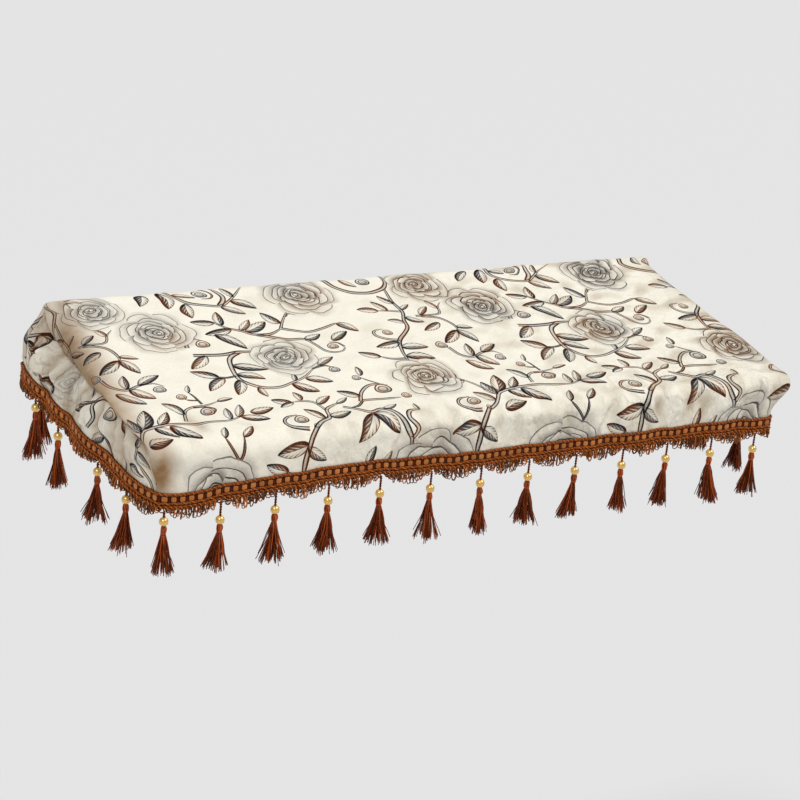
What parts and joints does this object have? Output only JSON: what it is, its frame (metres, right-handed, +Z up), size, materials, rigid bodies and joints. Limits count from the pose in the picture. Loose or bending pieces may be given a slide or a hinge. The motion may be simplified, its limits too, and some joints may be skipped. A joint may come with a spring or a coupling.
{
  "type": "keyboard dust cover",
  "caption": "Fitted dust cover of printed cloth for an electronic keyboard, hollow and open below, with sewn-in ends, a braid with looped fringe round its hem and beaded tassels.",
  "frame": {"origin": "on the underside of the top, midway along the length and midway between the front and back walls", "axes": "+X along the length, to the right seen from the front, +Y to the back, +Z up"},
  "size_m": [1.0203, 0.4042, 0.2374],
  "materials": {
    "cloth": "ivory satin weave with a printed pattern",
    "braid": "copper-brown woven gimp braid with looped fringe",
    "tassel": "dark red-brown twisted yarn with a gold bead"
  },
  "bodies": {
    "root": {"main_panel": "cloth", "end_panel_left": "cloth", "end_panel_right": "cloth", "braid": "braid", "tassel_01": "tassel", "tassel_02": "tassel", "tassel_03": "tassel", "tassel_04": "tassel", "tassel_05": "tassel", "tassel_06": "tassel", "tassel_07": "tassel", "tassel_08": "tassel", "tassel_09": "tassel", "tassel_10": "tassel", "tassel_11": "tassel", "tassel_12": "tassel", "tassel_13": "tassel", "tassel_14": "tassel", "tassel_15": "tassel", "tassel_16": "tassel", "tassel_17": "tassel", "tassel_18": "tassel", "tassel_19": "tassel", "tassel_20": "tassel", "tassel_21": "tassel", "tassel_22": "tassel", "tassel_23": "tassel", "tassel_24": "tassel", "tassel_25": "tassel", "tassel_26": "tassel", "tassel_27": "tassel", "tassel_28": "tassel", "tassel_29": "tassel", "tassel_30": "tassel", "tassel_31": "tassel", "tassel_32": "tassel", "tassel_33": "tassel", "tassel_34": "tassel"}
  },
  "joints": []
}
